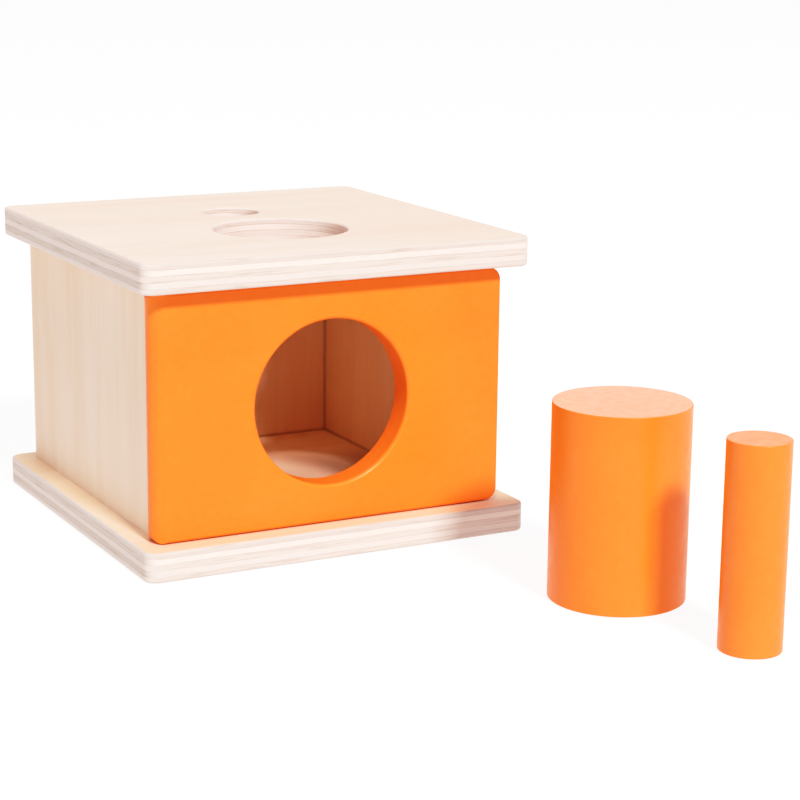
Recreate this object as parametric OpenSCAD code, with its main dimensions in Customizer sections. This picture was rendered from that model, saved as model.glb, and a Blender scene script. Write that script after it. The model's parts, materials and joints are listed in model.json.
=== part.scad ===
// Wooden drop-in box for infants. A plywood case has two round holes in its lid. A painted
// door with a hand hole closes its front and swings on two upright pins at its left edge.
// Two loose painted cylinders fit the holes in the lid, and stand in front of the box.
// The origin is the middle of the base's underside: +X right, +Y to the back, +Z up.

/* [Lid and base] */
// Width of the lid and of the base, left to right
panel_w = 160; // [140:1:200]
// Depth of the lid and of the base, front to back
panel_d = 160; // [140:1:200]
// Thickness of the lid
lid_t = 11.5; // [10:0.5:16]
// Thickness of the base
base_t = 11.5; // [10:0.5:16]
// Radius of the corners of the lid and base, seen from above
panel_corner_r = 5; // [2:0.5:12]
// Easing along the edges of the lid and base
panel_edge_r = 1; // [0.3:0.1:2]

/* [Walls] */
// Clear height between the base and the lid
inner_h = 95; // [80:1:130]
// How far the side walls stand in from the ends of the lid
side_inset = 9; // [4:0.5:14]
// How far the walls stand in from the rear edge of the lid
rear_inset = 8; // [3:0.5:14]
// Thickness of each side wall
side_t = 10.5; // [9:0.5:14]
// Thickness of the back wall
back_t = 10.5; // [9:0.5:14]
// Easing along the upright outer edges of the side walls
side_edge_r = 0.8; // [0.2:0.1:2]

/* [Cylinders] */
// Diameter of the large cylinder
large_cyl_d = 50; // [42:0.5:54]
// Height of the large cylinder
large_cyl_h = 72; // [40:1:90]
// Diameter of the small cylinder
small_cyl_d = 22; // [16:0.5:27]
// Height of the small cylinder
small_cyl_h = 73; // [58:1:90]
// Easing along the ends of both cylinders
cyl_edge_r = 0.3; // [0.2:0.1:3]
// How far the large cylinder stands to the right of the box's middle
large_cyl_right = 67; // [60:0.5:80]
// How far the small cylinder stands to the right of the box's middle
small_cyl_right = 76; // [50:0.5:95]
// How far the large cylinder stands in front of the base, to its middle
large_cyl_fwd = 84.5; // [78:0.5:95]
// How far the small cylinder stands in front of the base, to its middle
small_cyl_fwd = 152; // [135:0.5:180]

/* [Lid holes] */
// Play all round between the large cylinder and its hole
large_hole_play = 1.5; // [1:0.1:4]
// Play all round between the small cylinder and its hole
small_hole_play = 0.8; // [0.5:0.1:4]
// How far the large hole lies in front of the lid's middle
large_hole_fwd = 22; // [19:0.5:26]
// How far the small hole lies behind the lid's middle
small_hole_back = 27; // [25:0.5:36]
// Rounding of the rims of the lid's holes
hole_rim_r = 0.8; // [0.3:0.1:1.6]

/* [Door] */
// Thickness of the door
door_t = 12; // [10:0.5:15]
// How far the door's face stands in from the front edge of the lid
door_inset = 8.5; // [2:0.5:15]
// How far the door reaches past the left side wall, at its hinge
hinge_overlap = 2.6; // [0:0.1:4]
// How far the door reaches past the right side wall, at its free edge
free_overlap = 0.4; // [0:0.1:4]
// Running gap above the door
door_head_gap = 1.2; // [0.5:0.1:2]
// Running gap below the door
door_foot_gap = 0.4; // [0.3:0.1:2]
// Gap between the closed door and the side walls
door_back_gap = 0.5; // [0.4:0.1:1]
// Radius of the door's corners at its free edge, seen from the front
door_corner_r = 5; // [3:0.5:12]
// Radius of the door's corners at its hinge, seen from the front
hinge_corner_r = 3; // [2.5:0.5:8]
// Easing along the door's edges
door_edge_r = 1; // [0.3:0.1:2]
// Flat strip left along the middle of the door's rounded hinge edge
hinge_flat = 0.5; // [0.2:0.1:1]
// Diameter of the hand hole in the door
hand_hole_d = 64; // [50:0.5:70]
// Rounding of the hand hole's rims
hand_rim_r = 1.5; // [0.5:0.1:3]

/* [Hinge pins] */
// Diameter of the hinge pins
pin_d = 4; // [3:0.25:5]
// Length of each pin held in the door
pin_in_door = 16; // [10:1:24]
// Depth of each pin in the lid or base
pin_in_panel = 7; // [4:0.5:8]
// Running clearance round the pins in the lid and base
pin_play = 0.05; // [0.02:0.01:0.1]

/* [Dowels] */
// Diameter of the hidden dowels
dowel_d = 6; // [4:0.25:7]
// Depth of a dowel in the lid or base
dowel_in_panel = 7; // [4:0.5:8]
// Depth of a dowel in the edge of a wall
dowel_in_wall = 12; // [8:0.5:16]
// Depth of a corner dowel in the face of a side wall
dowel_in_side = 6.5; // [4:0.5:7.5]
// Distance from the end of a wall to its nearest dowel
dowel_end = 20; // [14:1:30]

/* [Hidden] */
$fn = 96;

// How far every cut runs past the face that it opens
overrun = 2;
// Glue line round a pressed pin or a dowel
glue_line = 0.03;
// Room past the end of a pin or dowel that doesn't bear on the hole's floor
end_room = 0.3;
// Chamfer on the ends of pins and dowels
end_chamfer = 0.5;

ply_colour = [0.94, 0.88, 0.80];
wall_colour = [0.88, 0.80, 0.70];
paint_colour = [1.00, 0.56, 0.15];
steel_colour = [0.72, 0.73, 0.75];
dowel_colour = [0.86, 0.74, 0.58];

// Height of the lid's underside
lid_z = base_t + inner_h;

// Plan of the case
front_y = -panel_d / 2;
rear_y = panel_d / 2 - rear_inset;
case_w = panel_w - 2 * side_inset;
room_w = case_w - 2 * side_t;
door_y = front_y + door_inset;
wall_y = door_y + door_t + door_back_gap;
wall_d = rear_y - wall_y;
back_y = rear_y - back_t;

// The door and its axis
door_x = -case_w / 2 - hinge_overlap;
door_w = case_w + hinge_overlap + free_overlap;
door_z = base_t + door_foot_gap;
door_h = inner_h - door_foot_gap - door_head_gap;
door_mid_x = door_x + door_w / 2;
door_mid_z = door_z + door_h / 2;
hinge_edge_r = (door_t - hinge_flat) / 2;
axis_x = door_x + door_t / 2;
axis_y = door_y + door_t / 2;
upper_pin_l = pin_in_panel + door_head_gap + pin_in_door;
lower_pin_l = pin_in_panel + door_foot_gap + pin_in_door;

// Dowels
dowel_hole_r = dowel_d / 2 + glue_line;
dowel_room = dowel_in_panel + dowel_in_wall - 2 * end_room;
corner_dowel_l = dowel_in_side + dowel_in_wall - 2 * end_room;
side_mid_x = (room_w + side_t) / 2;
back_mid_y = back_y + back_t / 2;
side_dowel_ys = [wall_y + dowel_end, rear_y - dowel_end];
back_dowel_x = room_w / 2 - dowel_end;
corner_dowel_zs = [base_t + dowel_end, lid_z - dowel_end];

// Places of the upright dowels under or over the three walls
wall_dowel_places = concat(
    [for (side = [-1, 1], y = side_dowel_ys) [side * side_mid_x, y]],
    [for (side = [-1, 1]) [side * back_dowel_x, back_mid_y]]
);

// Half of a board's section: x runs from its middle out to a long edge that is eased
module edge_section(reach, t, ease) {
    square([reach - ease, t]);
    translate([0, ease]) square([reach, t - 2 * ease]);
    for (y = [ease, t - ease]) translate([reach - ease, y]) circle(ease);
}

// Right end of a plate, from its rounded corners outwards
module plate_end(w, d, t, corner, ease) {
    translate([w / 2 - corner, d / 2 - corner, 0])
        rotate([90, 0, 0])
            linear_extrude(d - 2 * corner) edge_section(corner, t, ease);
    for (side = [0, 1]) mirror([0, side, 0])
        translate([w / 2 - corner, d / 2 - corner, 0])
            rotate_extrude(angle = 90) edge_section(corner, t, ease);
}

// Flat plate with round corners and eased edges all round, lying on z = 0
module eased_plate(w, d, t, left_corner, right_corner, ease) {
    rotate([90, 0, 90])
        translate([0, 0, left_corner - w / 2])
            linear_extrude(w - left_corner - right_corner) {
                edge_section(d / 2, t, ease);
                mirror([1, 0]) edge_section(d / 2, t, ease);
            }
    mirror([1, 0, 0]) plate_end(w, d, t, left_corner, ease);
    plate_end(w, d, t, right_corner, ease);
}

// Outline shared by the lid and the base, lying on z = 0
module square_panel(t) {
    eased_plate(panel_w, panel_d, t, panel_corner_r, panel_corner_r, panel_edge_r);
}

// Tool for a hole through a plate between z = 0 and z = t, with both rims rounded
module rimmed_hole(r, t, rim) {
    rotate_extrude() {
        translate([0, -overrun]) square([r, t + 2 * overrun]);
        for (end = [0, 1]) translate([0, end * t]) mirror([0, end]) {
            translate([0, -overrun]) square([r + rim, overrun]);
            difference() {
                square([r + rim, rim]);
                translate([r + rim, rim]) circle(rim);
            }
        }
    }
}

// Round bar from z = 0 to z = l, with its ends rounded
module round_bar(r, l, ease) {
    rotate_extrude() {
        square([r - ease, l]);
        translate([0, ease]) square([r, l - 2 * ease]);
        for (z = [ease, l - ease]) translate([r - ease, z]) circle(ease);
    }
}

// Pin or dowel from z = 0 to z = l, with its ends chamfered
module chamfered_pin(r, l) {
    rotate_extrude() polygon([
        [0, 0], [r - end_chamfer, 0], [r, end_chamfer],
        [r, l - end_chamfer], [r - end_chamfer, l], [0, l]
    ]);
}

// Blind hole that sinks from z = 0 down to the given depth
module blind_hole(r, depth) {
    translate([0, 0, -depth]) cylinder(r = r, h = depth + overrun);
}

// Places its children at every upright dowel, at the height z
module at_wall_dowels(z) {
    for (place = wall_dowel_places) translate([place[0], place[1], z]) children();
}

// Places its children at the corner dowels of one side, lying across the joint
module at_corner_dowels(side) {
    for (z = corner_dowel_zs)
        translate([side * room_w / 2, back_mid_y, z]) rotate([0, side * 90, 0]) children();
}

// Holes for the upright dowels in the lower and upper edges of the walls
module wall_dowel_holes() {
    at_wall_dowels(base_t) mirror([0, 0, 1]) blind_hole(dowel_hole_r, dowel_in_wall);
    at_wall_dowels(lid_z) blind_hole(dowel_hole_r, dowel_in_wall);
}

module base_panel() {
    color(ply_colour) difference() {
        square_panel(base_t);
        at_wall_dowels(base_t) blind_hole(dowel_hole_r, dowel_in_panel);
        translate([axis_x, axis_y, base_t]) blind_hole(pin_d / 2 + pin_play, pin_in_panel);
    }
}

module lid_panel() {
    color(ply_colour) difference() {
        translate([0, 0, lid_z]) square_panel(lid_t);
        translate([0, -large_hole_fwd, lid_z])
            rimmed_hole(large_cyl_d / 2 + large_hole_play, lid_t, hole_rim_r);
        translate([0, small_hole_back, lid_z])
            rimmed_hole(small_cyl_d / 2 + small_hole_play, lid_t, hole_rim_r);
        at_wall_dowels(lid_z) mirror([0, 0, 1]) blind_hole(dowel_hole_r, dowel_in_panel);
        translate([axis_x, axis_y, lid_z])
            mirror([0, 0, 1]) blind_hole(pin_d / 2 + pin_play, pin_in_panel + end_room);
    }
}

// Side wall; side is 1 for the right one and -1 for the left one
module side_panel(side) {
    difference() {
        mirror([side < 0 ? 1 : 0, 0, 0])
            translate([room_w / 2, wall_y, base_t])
                linear_extrude(inner_h) edge_section(side_t, wall_d, side_edge_r);
        wall_dowel_holes();
        at_corner_dowels(side) mirror([0, 0, 1]) blind_hole(dowel_hole_r, dowel_in_side);
    }
}

module left_side_panel() {
    color(wall_colour) side_panel(-1);
}

module right_side_panel() {
    color(wall_colour) side_panel(1);
}

module back_panel() {
    color(wall_colour) difference() {
        translate([-room_w / 2, back_y, base_t]) cube([room_w, back_t, inner_h]);
        wall_dowel_holes();
        for (side = [-1, 1]) at_corner_dowels(side) blind_hole(dowel_hole_r, dowel_in_wall);
    }
}

// What the rounding of the door's hinge edge takes off one of its upright corners
module hinge_edge_waste() {
    translate([0, 0, -overrun]) linear_extrude(door_h + 2 * overrun) difference() {
        translate([-overrun, -overrun]) square(hinge_edge_r + overrun);
        translate([hinge_edge_r, hinge_edge_r]) circle(hinge_edge_r);
    }
}

// Closed door, with its hinge edge on the left, rounded about the axis of the pins
module front_door() {
    color(paint_colour) difference() {
        translate([door_mid_x, door_y + door_t, door_mid_z]) rotate([90, 0, 0])
            eased_plate(door_w, door_h, door_t, hinge_corner_r, door_corner_r, door_edge_r);
        translate([door_x, door_y, door_z]) hinge_edge_waste();
        translate([door_x, door_y + door_t, door_z]) mirror([0, 1, 0]) hinge_edge_waste();
        translate([door_mid_x, door_y + door_t, door_mid_z])
            rotate([90, 0, 0]) rimmed_hole(hand_hole_d / 2, door_t, hand_rim_r);
        translate([axis_x, axis_y, door_z])
            mirror([0, 0, 1]) blind_hole(pin_d / 2 + glue_line, pin_in_door + end_room);
        translate([axis_x, axis_y, door_z + door_h])
            blind_hole(pin_d / 2 + glue_line, pin_in_door + end_room);
    }
}

// The upper pin stops short of the floor of its hole in the lid
module upper_pivot_pin() {
    color(steel_colour)
        translate([axis_x, axis_y, lid_z + pin_in_panel - upper_pin_l])
            chamfered_pin(pin_d / 2, upper_pin_l);
}

// The lower pin stands on the floor of its hole in the base, and carries the door
module lower_pivot_pin() {
    color(steel_colour)
        translate([axis_x, axis_y, base_t - pin_in_panel]) chamfered_pin(pin_d / 2, lower_pin_l);
}

module base_dowels() {
    color(dowel_colour) at_wall_dowels(base_t - dowel_in_panel + end_room)
        chamfered_pin(dowel_d / 2, dowel_room);
}

module lid_dowels() {
    color(dowel_colour) at_wall_dowels(lid_z - dowel_in_wall + end_room)
        chamfered_pin(dowel_d / 2, dowel_room);
}

module corner_dowels() {
    color(dowel_colour) for (side = [-1, 1]) at_corner_dowels(side)
        translate([0, 0, end_room - dowel_in_wall]) chamfered_pin(dowel_d / 2, corner_dowel_l);
}

module large_cylinder() {
    color(paint_colour) translate([large_cyl_right, front_y - large_cyl_fwd, 0])
        round_bar(large_cyl_d / 2, large_cyl_h, cyl_edge_r);
}

module small_cylinder() {
    color(paint_colour) translate([small_cyl_right, front_y - small_cyl_fwd, 0])
        round_bar(small_cyl_d / 2, small_cyl_h, cyl_edge_r);
}

base_panel();
lid_panel();
left_side_panel();
right_side_panel();
back_panel();
front_door();
upper_pivot_pin();
lower_pivot_pin();
base_dowels();
lid_dowels();
corner_dowels();
large_cylinder();
small_cylinder();
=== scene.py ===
"""Looks of the object permanence box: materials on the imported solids, a floor, light and a camera."""

import json
import math

import bpy
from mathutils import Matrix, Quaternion, Vector


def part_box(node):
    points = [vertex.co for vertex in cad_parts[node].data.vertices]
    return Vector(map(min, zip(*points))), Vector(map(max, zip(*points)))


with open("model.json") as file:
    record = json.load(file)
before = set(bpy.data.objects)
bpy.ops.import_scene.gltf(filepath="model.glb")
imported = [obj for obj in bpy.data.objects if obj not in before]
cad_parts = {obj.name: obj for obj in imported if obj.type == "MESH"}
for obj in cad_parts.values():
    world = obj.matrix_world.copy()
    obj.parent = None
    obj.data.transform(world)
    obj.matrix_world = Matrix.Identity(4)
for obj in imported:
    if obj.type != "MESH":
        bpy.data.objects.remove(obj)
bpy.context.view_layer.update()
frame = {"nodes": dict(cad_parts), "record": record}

X, Y, Z = 0, 1, 2
WHITE = (1.0, 1.0, 1.0, 1.0)

# Camera, from the photograph's solved view
CAMERA_PLACE = (-0.35388, -0.78474, 0.24720)
CAMERA_TARGET = (0.02796, -0.07050, 0.05641)
CAMERA_ROLL = math.radians(0.617)
CAMERA_LENS_MM = 97.41
SENSOR_MM = 36.0

# Light: a broad lamp high before the door and a weak one overhead, in a white room with a
# glowing floor. A lamp is given by where it stands, its width and height, and the light that
# it throws on the object
KEY_PLACE = (0.0, -6.220, 5.031)
KEY_SIZE = (1.10, 0.95)
KEY_IRRADIANCE = 3.40
TOP_PLACE = (-0.54, -0.93, 3.00)
TOP_SIZE = (0.22, 0.22)
TOP_IRRADIANCE = 0.65
FRONT_WHITE = 0.35
BACK_WHITE = 1.60
OVERHEAD_SHARE = 0.35
FLOOR_SIZE = 40.0
FLOOR_DROP = 0.0003
FLOOR_WHITE = (0.19, 0.19, 0.19, 1.0)
FLOOR_GLOW = 1.00
FLOOR_ROUGHNESS = 0.9
FLOOR_SPECULAR = 0.1
DIFFUSE_BOUNCES = 10

# Camera response from scene light to picture, between black and the light that comes out white:
# a little contrast, and a soft shoulder in the whites
COMBINED_CURVE = 3
RESPONSE_WHITE = 1.25
RESPONSE = (
    (0.05, 0.018), (0.10, 0.055), (0.20, 0.15), (0.40, 0.37),
    (0.60, 0.60), (0.80, 0.76), (1.00, 0.885), (1.15, 0.965),
)
# The red channel's middle tones are lifted a little
RED_CURVE = 0
RED_RESPONSE = ((0.20, 0.208), (0.40, 0.43), (0.60, 0.645), (0.78, 0.820), (0.88, 0.888))

# Noise: counts are waves per metre, along the grain, across it and, where there is a third, through
# the sheet. A span or turn is the two values between which something goes from one state to another
WIDE_SPAN = (0.20, 0.80)
MIDDLE_SPAN = (0.25, 0.75)
CLOSE_SPAN = (0.30, 0.70)
FINE_DETAIL = 3.0

# Veneer: its colours come as a pale and a warm one. Inside the box they are painted light instead: bright,
# warm painted bounce light, and painted shade at the front of the floor, turning from the front's to the
# back's over a stretch along Y. A streak, cloud or fleck has its counts, span and share of the warm one
LID_VENEER = ((0.785, 0.632, 0.538, 1.0), (0.735, 0.556, 0.436, 1.0))
WALL_VENEER = ((0.795, 0.640, 0.520, 1.0), (0.725, 0.530, 0.380, 1.0))
# The base's veneer is warmer: partly its own tone, partly painted orange bounce light from the door
BASE_VENEER_AND_BOUNCE = ((0.785, 0.595, 0.445, 1.0), (0.735, 0.520, 0.350, 1.0))
# Inside colours: the brighter, warmer ones are painted bounce light; the darker front ones, used on the
# floor, are painted shade
INSIDE_PAINTED_BOUNCE = ((0.940, 0.755, 0.555, 1.0), (0.895, 0.680, 0.465, 1.0))
INSIDE_FRONT_PAINTED_SHADE = ((0.610, 0.440, 0.325, 1.0), (0.575, 0.400, 0.280, 1.0))
INSIDE_TURN = (0.000, 0.035)
INSIDE_MARGIN = 0.0012
# Painted shade in the inside corners where two faces meet: its width and how dark it gets
CORNER_SHADE_WIDTH = 0.0015
CORNER_PAINTED_SHADE = 0.74
STREAK = ((6.0, 75.0, 5.0), (0.35, 0.70), 0.50)
CLOUD = ((6.0, 24.0, 5.0), (0.30, 0.80), 0.45)
FLECK = ((150.0, 800.0, 5.0), (0.66, 0.78), 0.20)
VENEER_SHADE = (0.97, 1.025)

# Plies, as they show along the edges of a sheet and round its holes. The outer margin and the glue's
# width are parts of a ply. Dashes and breaks in the glue have counts through the sheet and along it
PLIES = 5
PLY_WAVER = 0.0006
WAVER_COUNT = 18.0
OUTER_MARGIN = 0.001
FACE_TURN = (0.80, 0.97)
END_TURN = (0.10, 0.90)
FIBRE_COUNTS = (28.0, 420.0, 1900.0)
FIBRE_DETAIL = 4.0
FIBRE_ROUGHNESS = 0.6
FIBRE_SHIFT = (3.7, 5.3, 7.9)
LONG_GRAIN = (0.606, 0.520, 0.460, 1.0)
END_GRAIN = (0.685, 0.598, 0.540, 1.0)
LAYER_SHADE = (0.96, 1.03)
# Painted light: ply edges round the holes are made lighter, starting this deep into the sheet
BORE_PAINTED_LIGHT = 1.20
BORE_DEPTH = (0.010, 0.020)
DASH = (0.420, 0.330, 0.270, 1.0)
DASH_COUNTS = (1500.0, 60.0)
DASH_SPAN = (0.52, 0.68)
DASH_SHARE = 0.50
DASH_END_SHARE = 0.15
GLUE_LINE = (0.430, 0.340, 0.280, 1.0)
GLUE_WIDTH = 0.09
GLUE_COUNTS = (900.0, 50.0)
GLUE_SPAN = (0.38, 0.62)
GLUE_SHARES = (0.20, 0.85)
PLYWOOD_ROUGHNESS = (0.55, 0.68)
PLYWOOD_BUMP = (0.20, 0.00015)

# Paint, with the wood's fibre and a fine orange peel in its surface
PAINT = (0.960, 0.222, 0.036, 1.0)
PAINT_DEEP = (0.935, 0.196, 0.027, 1.0)
PAINT_THIN = (1.000, 0.300, 0.060, 1.0)
PATCH_COUNT = 24.0
PATCH_SHARE = 0.50
MOTTLE_COUNT = 310.0
MOTTLE_SHARE = 0.35
RIM_START = (0.12, 0.40)
RIM_END = (0.75, 0.96)
WORN_SPAN = (0.42, 0.66)
WORN_SHARES = (0.05, 0.25)
SPECK = (0.550, 0.100, 0.010, 1.0)
SPECK_COUNT = 85.0
SPECK_RARITY = 0.93
SPECK_EDGE = (0.02, 0.05)
SPECK_SHARE = 0.7
COAT_ROUGHNESS = 0.25
COAT_TURN = (0.90, 0.99)
UNDER_FIBRE_COUNTS = (16.0, 480.0)
UNDER_FIBRE_HEIGHT = 0.6
PEEL_COUNT = 1100.0
PEEL_DETAIL = 1.0
PEEL_HEIGHT = 0.4
PAINT_ROUGHNESS = (0.30, 0.40)
PAINT_BUMP = (0.12, 0.00012)

# Steel, with counts along X, Y and Z
STEEL = (0.560, 0.565, 0.580, 1.0)
STEEL_DARK = (0.420, 0.425, 0.440, 1.0)
STEEL_COUNTS = (120.0, 120.0, 9000.0)
STEEL_ROUGHNESS = (0.22, 0.38)
STEEL_BUMP = (0.10, 0.00005)

# Beech
BEECH = (0.640, 0.440, 0.270, 1.0)
BEECH_COUNTS = (60.0, 1500.0)
BEECH_SHADE = (0.88, 1.08)
BEECH_FLECK = (0.430, 0.260, 0.140, 1.0)
BEECH_FLECK_COUNTS = (500.0, 2600.0)
BEECH_FLECK_SPAN = (0.58, 0.70)
BEECH_FLECK_SHARE = 0.6
BEECH_ROUGHNESS = (0.55, 0.70)
BEECH_BUMP = (0.20, 0.0001)

# Sockets of the mix node for each kind of value: its two inputs and its output
MIX_SOCKETS = {"RGBA": (6, 7, 2), "VECTOR": (4, 5, 1)}


def set_range(node, *limits):
    """Sets where a map range node starts and ends, and what it gives there."""
    for name, limit in zip(("From Min", "From Max", "To Min", "To Max"), limits):
        node.inputs[name].default_value = limit


def per_axis(axis, counts, thick=None):
    """Counts along X, Y and Z, from those along an axis, across it and maybe through the sheet."""
    along, across, *through = counts
    ordered = [across] * 3
    ordered[axis] = along
    if through:
        ordered[thick] = through[0]
    return tuple(ordered)


class Recipe:
    """One material, with short calls that add its nodes and join them."""

    def __init__(self, name):
        self.material = bpy.data.materials.new(name)
        self.material.use_nodes = True
        self.nodes = self.material.node_tree.nodes
        self.links = self.material.node_tree.links
        self.surface = self.nodes["Principled BSDF"]
        coordinates = self.nodes.new("ShaderNodeTexCoord")
        self.place = coordinates.outputs["Object"]
        self.along = self.split(self.place)
        self.facing = [self.math("ABSOLUTE", part) for part in self.split(coordinates.outputs["Normal"])]

    def put(self, socket, value):
        """Joins a socket to another one, or sets it to a plain value."""
        if isinstance(value, bpy.types.NodeSocket):
            self.links.new(value, socket)
        else:
            socket.default_value = value

    def math(self, operation, *values):
        node = self.nodes.new("ShaderNodeMath")
        node.operation = operation
        for socket, value in zip(node.inputs, values):
            self.put(socket, value)
        return node.outputs[0]

    def vector(self, operation, first, second):
        node = self.nodes.new("ShaderNodeVectorMath")
        node.operation = operation
        self.put(node.inputs[0], first)
        self.put(node.inputs[1], second)
        return node.outputs[0]

    def scaled(self, colour, factor):
        """The colour or vector times a factor."""
        node = self.nodes.new("ShaderNodeVectorMath")
        node.operation = "SCALE"
        self.put(node.inputs[0], colour)
        self.put(node.inputs["Scale"], factor)
        return node.outputs[0]

    def split(self, vector):
        node = self.nodes.new("ShaderNodeSeparateXYZ")
        self.put(node.inputs[0], vector)
        return list(node.outputs)

    def mix(self, factor, first, second, kind="RGBA"):
        """Goes from the first colour or vector to the second while the factor goes from 0 to 1."""
        node = self.nodes.new("ShaderNodeMix")
        node.data_type = kind
        start, end, result = MIX_SOCKETS[kind]
        self.put(node.inputs[0], factor)
        self.put(node.inputs[start], first)
        self.put(node.inputs[end], second)
        return node.outputs[result]

    def step(self, value, start, end, low=0.0, high=1.0):
        """Goes smoothly from low to high while the value goes from start to end."""
        node = self.nodes.new("ShaderNodeMapRange")
        node.interpolation_type = "SMOOTHSTEP"
        set_range(node, start, end, low, high)
        self.put(node.inputs["Value"], value)
        return node.outputs["Result"]

    def noise(self, vector, detail=2.0, roughness=0.5):
        node = self.nodes.new("ShaderNodeTexNoise")
        self.put(node.inputs["Vector"], vector)
        node.inputs["Scale"].default_value = 1.0
        node.inputs["Detail"].default_value = detail
        node.inputs["Roughness"].default_value = roughness
        return node.outputs["Fac"]

    def figure(self, counts, **settings):
        """Noise with its own count of waves per metre along X, Y and Z."""
        return self.noise(self.vector("MULTIPLY", self.place, counts), **settings)

    def even(self, count, **settings):
        """Noise with the same count of waves per metre every way."""
        return self.figure((count, count, count), **settings)

    def reach(self, axis, start, end):
        """How far the place lies within the span from start to end along an axis."""
        off = self.math("ABSOLUTE", self.math("SUBTRACT", self.along[axis], (start + end) / 2))
        return self.math("SUBTRACT", (end - start) / 2, off)

    def finish(self, colour, roughness, height, strength, distance):
        """Joins colour, roughness and a bump to the surface, and gives the material."""
        node = self.nodes.new("ShaderNodeBump")
        node.inputs["Strength"].default_value = strength
        node.inputs["Distance"].default_value = distance
        self.put(node.inputs["Height"], height)
        self.put(self.surface.inputs["Normal"], node.outputs["Normal"])
        self.put(self.surface.inputs["Base Color"], colour)
        self.put(self.surface.inputs["Roughness"], roughness)
        return self.material


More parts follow.
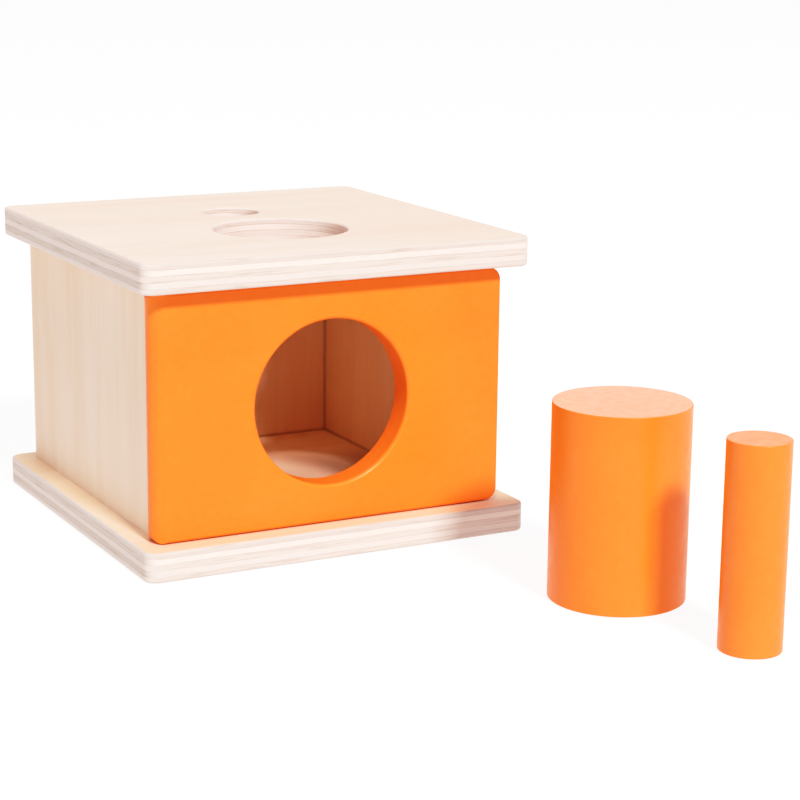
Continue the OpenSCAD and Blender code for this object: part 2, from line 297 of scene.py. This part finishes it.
class Sheet(Recipe):
    """Plywood of one CAD node: thick is the axis through the sheet, grain that of its face veneer."""

    def __init__(self, name, node, thick, grain):
        super().__init__(name)
        self.low, self.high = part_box(node)
        self.thick = thick
        self.grain = grain
        self.cross = X + Y + Z - thick - grain
        self.ply, self.within_ply = self.plies()
        self.crossed = self.math("MODULO", self.ply, 2.0)
        self.fibre = self.fibres()

    def plies(self):
        """Which ply the place lies in, from 0 up, and how far through that ply, from 0 to 1."""
        low, high = self.low[self.thick], self.high[self.thick]
        waver = self.math("MULTIPLY_ADD", self.even(WAVER_COUNT), PLY_WAVER, -low - PLY_WAVER / 2)
        depth = self.math("DIVIDE", self.math("ADD", self.along[self.thick], waver), (high - low) / PLIES)
        depth = self.math("MAXIMUM", self.math("MINIMUM", depth, PLIES - OUTER_MARGIN), OUTER_MARGIN)
        return self.math("FLOOR", depth), self.math("FRACT", depth)

    def fibres(self):
        """Noise along the grain of each ply, shifted from one ply to the next."""
        laid, turned = (
            self.vector("MULTIPLY", self.place, per_axis(axis, FIBRE_COUNTS, self.thick))
            for axis in (self.grain, self.cross)
        )
        place = self.mix(self.crossed, laid, turned, "VECTOR")
        shifted = self.vector("ADD", place, self.scaled(FIBRE_SHIFT, self.ply))
        return self.noise(shifted, detail=FIBRE_DETAIL, roughness=FIBRE_ROUGHNESS)

    def inside(self):
        """Where a face looks into the box, and where two such faces meet, which gets painted shade; each
        goes from 0 to 1.
        """
        low, high = frame["record"]["physics"]["openings"][0]["box_m"]
        within, sides = 1.0, -1.0
        for axis in (X, Y, Z):
            gap = self.reach(axis, low[axis], high[axis])
            within = self.math("MULTIPLY", within, self.math("GREATER_THAN", gap, -INSIDE_MARGIN))
            sides = self.math("ADD", sides, self.step(gap, 0.0, CORNER_SHADE_WIDTH, 1.0, 0.0))
        meeting = self.math("MINIMUM", self.math("MAXIMUM", sides, 0.0), 1.0)
        return within, self.math("MULTIPLY", within, meeting)

    def veneer(self, outside, front):
        """Colour of the faces, with other pairs of colours inside the box, at its front and its back, which
        are painted light: painted bounce light, and painted shade at the front of the base.
        """
        warmth = 0.0
        for counts, span, share in (STREAK, CLOUD, FLECK):
            figure = self.figure(per_axis(self.grain, counts, self.thick))
            warmth = self.math("ADD", warmth, self.step(figure, *span, 0.0, share))
        within, corner_shade = self.inside()
        # Painted light inside the box: painted shade at the front of the floor, painted bounce light
        # further back
        back = self.step(self.along[Y], *INSIDE_TURN)
        pale, warm = (
            self.mix(within, outer, self.mix(back, before, behind))
            for outer, before, behind in zip(outside, front, INSIDE_PAINTED_BOUNCE)
        )
        colour = self.mix(warmth, pale, warm)
        colour = self.scaled(colour, self.step(self.fibre, *WIDE_SPAN, *VENEER_SHADE))
        # Painted shade darkens the inside corners
        return self.scaled(colour, self.step(corner_shade, 0.0, 1.0, 1.0, CORNER_PAINTED_SHADE))

    def glue(self):
        """Broken lines of glue between the plies."""
        off_middle = self.math("ABSOLUTE", self.math("SUBTRACT", self.within_ply, 0.5))
        border = self.math("SUBTRACT", 0.5, off_middle)
        line = self.step(border, 0.0, GLUE_WIDTH, 1.0, 0.0)
        breaks = self.figure(per_axis(self.thick, GLUE_COUNTS), detail=FINE_DETAIL)
        return self.math("MULTIPLY", line, self.step(breaks, *GLUE_SPAN, *GLUE_SHARES))

    def layers(self, glue):
        """Colour of the plies along an edge, made lighter in a hole as painted light, with dashes of long
        fibre.
        """
        # How far the surface cuts across the fibres of its ply
        laid_end, turned_end = self.facing[self.grain], self.facing[self.cross]
        end = self.math("MULTIPLY_ADD", self.crossed, self.math("SUBTRACT", turned_end, laid_end), laid_end)
        tone = self.nodes.new("ShaderNodeTexWhiteNoise")
        tone.noise_dimensions = "1D"
        self.put(tone.inputs["W"], self.ply)
        reaches = (self.reach(axis, self.low[axis], self.high[axis]) for axis in (self.grain, self.cross))
        bored = self.math("MINIMUM", *reaches)
        colour = self.mix(self.step(end, *END_TURN), LONG_GRAIN, END_GRAIN)
        colour = self.scaled(colour, self.step(tone.outputs["Value"], 0.0, 1.0, *LAYER_SHADE))
        # Painted light: lighter ply edges round the holes
        colour = self.scaled(colour, self.step(bored, *BORE_DEPTH, 1.0, BORE_PAINTED_LIGHT))
        colour = self.scaled(colour, self.step(self.fibre, *MIDDLE_SPAN, *LAYER_SHADE))
        marks = self.figure(per_axis(self.thick, DASH_COUNTS), detail=FINE_DETAIL)
        dash = self.step(marks, *DASH_SPAN, 0.0, DASH_SHARE)
        dash = self.math("MULTIPLY", dash, self.step(end, *END_TURN, 1.0, DASH_END_SHARE))
        return self.mix(glue, self.mix(dash, colour, DASH), GLUE_LINE)


def plywood(name, node, thick, grain, outside=WALL_VENEER, front=INSIDE_PAINTED_BOUNCE):
    """Birch plywood; outside and front are its veneer's colours outside the box and at the front inside,
    where front is painted bounce light, or painted shade on the base.
    """
    r = Sheet(name, node, thick, grain)
    face = r.step(r.facing[thick], *FACE_TURN)
    glue = r.glue()
    colour = r.mix(face, r.layers(glue), r.veneer(outside, front))
    roughness = r.step(r.fibre, *WIDE_SPAN, *PLYWOOD_ROUGHNESS)
    height = r.math("SUBTRACT", r.fibre, r.math("MULTIPLY", glue, r.math("SUBTRACT", 1.0, face)))
    return r.finish(colour, roughness, height, *PLYWOOD_BUMP)


def paint(name, flat, grain, gloss, shine=0.0):
    """Satin orange paint over wood. Flat is the axis that the flat faces look along, gloss how strongly
    all faces reflect, and shine the weight of a clear coat on the flat ones."""
    r = Recipe(name)
    patch = r.step(r.even(PATCH_COUNT), *CLOSE_SPAN, 0.0, PATCH_SHARE)
    mottle = r.even(MOTTLE_COUNT, detail=FINE_DETAIL)
    depth = r.math("ADD", patch, r.step(mottle, *CLOSE_SPAN, 0.0, MOTTLE_SHARE))
    colour = r.mix(depth, PAINT, PAINT_DEEP)

    # Paint is thinner on the rounded rims
    turn = r.facing[flat]
    rim = r.math("MULTIPLY", r.step(turn, *RIM_START), r.step(turn, *RIM_END, 1.0, 0.0))
    worn = r.math("MULTIPLY", rim, r.step(mottle, *WORN_SPAN, *WORN_SHARES))
    colour = r.mix(worn, colour, PAINT_THIN)

    # A few dark specks
    dots = r.nodes.new("ShaderNodeTexVoronoi")
    dots.inputs["Scale"].default_value = SPECK_COUNT
    r.put(dots.inputs["Vector"], r.place)
    chosen = r.math("GREATER_THAN", r.split(dots.outputs["Color"])[0], SPECK_RARITY)
    speck = r.math("MULTIPLY", r.step(dots.outputs["Distance"], *SPECK_EDGE, SPECK_SHARE, 0.0), chosen)
    colour = r.mix(speck, colour, SPECK)

    r.surface.inputs["Specular IOR Level"].default_value = gloss
    if shine:
        r.surface.inputs["Coat Roughness"].default_value = COAT_ROUGHNESS
        r.put(r.surface.inputs["Coat Weight"], r.step(turn, *COAT_TURN, 0.0, shine))
    fibre = r.figure(per_axis(grain, UNDER_FIBRE_COUNTS), detail=FINE_DETAIL)
    fibre = r.math("MULTIPLY", fibre, UNDER_FIBRE_HEIGHT)
    peel = r.math("MULTIPLY", r.even(PEEL_COUNT, detail=PEEL_DETAIL), PEEL_HEIGHT)
    roughness = r.step(mottle, *MIDDLE_SPAN, *PAINT_ROUGHNESS)
    return r.finish(colour, roughness, r.math("ADD", fibre, peel), *PAINT_BUMP)


def steel(name):
    """Drawn steel with fine lines round it."""
    r = Recipe(name)
    lines = r.figure(STEEL_COUNTS, detail=FINE_DETAIL)
    colour = r.mix(r.step(lines, *CLOSE_SPAN), STEEL, STEEL_DARK)
    r.surface.inputs["Metallic"].default_value = 1.0
    return r.finish(colour, r.step(lines, *CLOSE_SPAN, *STEEL_ROUGHNESS), lines, *STEEL_BUMP)


def beech(name, grain):
    """Raw beech rod with its short dark flecks."""
    r = Recipe(name)
    fibre = r.figure(per_axis(grain, BEECH_COUNTS), detail=FINE_DETAIL)
    fleck = r.figure(per_axis(grain, BEECH_FLECK_COUNTS))
    colour = r.mix(r.step(fleck, *BEECH_FLECK_SPAN, 0.0, BEECH_FLECK_SHARE), BEECH, BEECH_FLECK)
    colour = r.scaled(colour, r.step(fibre, *MIDDLE_SPAN, *BEECH_SHADE))
    return r.finish(colour, r.step(fibre, *WIDE_SPAN, *BEECH_ROUGHNESS), fibre, *BEECH_BUMP)


def dress(materials):
    """Gives each CAD node its material."""
    for node, material in materials.items():
        slots = frame["nodes"][node].data.materials
        slots.clear()
        slots.append(material)


def make_camera():
    data = bpy.data.cameras.new("camera")
    data.lens = CAMERA_LENS_MM
    data.sensor_width = SENSOR_MM
    camera = bpy.data.objects.new("camera", data)
    aim = Vector(CAMERA_TARGET) - Vector(CAMERA_PLACE)
    camera.location = CAMERA_PLACE
    camera.rotation_mode = "QUATERNION"
    camera.rotation_quaternion = aim.to_track_quat("-Z", "Y") @ Quaternion((0, 0, 1), CAMERA_ROLL)
    bpy.context.scene.collection.objects.link(camera)
    bpy.context.scene.camera = camera


def make_floor():
    """A wide floor just under the object, which glows so that it comes out white."""
    half = FLOOR_SIZE / 2
    corners = [(-half, -half), (half, -half), (half, half), (-half, half)]
    mesh = bpy.data.meshes.new("floor")
    mesh.from_pydata([(x, y, -FLOOR_DROP) for x, y in corners], [], [(0, 1, 2, 3)])
    material = bpy.data.materials.new("floor_white")
    material.use_nodes = True
    surface = material.node_tree.nodes["Principled BSDF"]
    surface.inputs["Base Color"].default_value = FLOOR_WHITE
    surface.inputs["Roughness"].default_value = FLOOR_ROUGHNESS
    surface.inputs["Specular IOR Level"].default_value = FLOOR_SPECULAR
    surface.inputs["Emission Color"].default_value = WHITE
    surface.inputs["Emission Strength"].default_value = FLOOR_GLOW
    material.cycles.emission_sampling = "NONE"
    mesh.materials.append(material)
    floor = bpy.data.objects.new("floor", mesh)
    bpy.context.scene.collection.objects.link(floor)


def make_lamp(name, place, size, irradiance):
    """Oblong lamp that looks at the origin and throws the given light on it."""
    data = bpy.data.lights.new(name, "AREA")
    data.shape = "RECTANGLE"
    data.size, data.size_y = size
    data.energy = irradiance * math.pi * Vector(place).length_squared
    lamp = bpy.data.objects.new(name, data)
    lamp.location = place
    lamp.rotation_euler = (-Vector(place)).to_track_quat("-Z", "Y").to_euler()
    bpy.context.scene.collection.objects.link(lamp)


def make_room():
    """A white room that is brightest behind the object, and dimmer in front of it and overhead."""
    world = bpy.data.worlds.new("room")
    world.use_nodes = True
    tree = world.node_tree
    background = tree.nodes["Background"]
    direction = tree.nodes.new("ShaderNodeTexCoord")
    parts = tree.nodes.new("ShaderNodeSeparateXYZ")
    tree.links.new(direction.outputs["Generated"], parts.inputs[0])
    strength = tree.nodes.new("ShaderNodeMath")
    strength.operation = "MULTIPLY"
    spans = (("Y", -1.0, 1.0, FRONT_WHITE, BACK_WHITE), ("Z", 0.0, 1.0, 1.0, OVERHEAD_SHARE))
    for slot, (axis, *limits) in zip(strength.inputs, spans):
        level = tree.nodes.new("ShaderNodeMapRange")
        set_range(level, *limits)
        tree.links.new(parts.outputs[axis], level.inputs["Value"])
        tree.links.new(level.outputs["Result"], slot)
    tree.links.new(strength.outputs[0], background.inputs["Strength"])
    background.inputs["Color"].default_value = WHITE
    bpy.context.scene.world = world


def set_view():
    """Lets light bounce often inside the box, and shows colours through the camera's response."""
    scene = bpy.context.scene
    scene.cycles.diffuse_bounces = DIFFUSE_BOUNCES
    settings = scene.view_settings
    settings.view_transform = "Standard"
    settings.look = "None"
    settings.use_curve_mapping = True
    mapping = settings.curve_mapping
    mapping.white_level = [RESPONSE_WHITE] * 3
    for light, level in RESPONSE:
        mapping.curves[COMBINED_CURVE].points.new(light / RESPONSE_WHITE, level)
    for light, level in RED_RESPONSE:
        mapping.curves[RED_CURVE].points.new(light, level)
    mapping.update()


make_camera()
make_floor()
make_lamp("key", KEY_PLACE, KEY_SIZE, KEY_IRRADIANCE)
make_lamp("top", TOP_PLACE, TOP_SIZE, TOP_IRRADIANCE)
make_room()
set_view()

pin_steel = steel("pin_steel")
upright_beech = beech("upright_beech", Z)
dress({
    "lid_panel": plywood("lid_plywood", "lid_panel", Z, X, LID_VENEER),
    "base_panel": plywood("base_plywood", "base_panel", Z, X, BASE_VENEER_AND_BOUNCE, INSIDE_FRONT_PAINTED_SHADE),
    "left_side_panel": plywood("left_plywood", "left_side_panel", X, Z),
    "right_side_panel": plywood("right_plywood", "right_side_panel", X, Z),
    "back_panel": plywood("back_plywood", "back_panel", Y, Z),
    "front_door": paint("door_paint", Y, X, gloss=0.26),
    "large_cylinder": paint("large_cylinder_paint", Z, Z, gloss=0.35, shine=0.75),
    "small_cylinder": paint("small_cylinder_paint", Z, Z, gloss=0.44, shine=0.30),
    "upper_pivot_pin": pin_steel,
    "lower_pivot_pin": pin_steel,
    "base_dowels": upright_beech,
    "lid_dowels": upright_beech,
    "corner_dowels": beech("lying_beech", X),
})
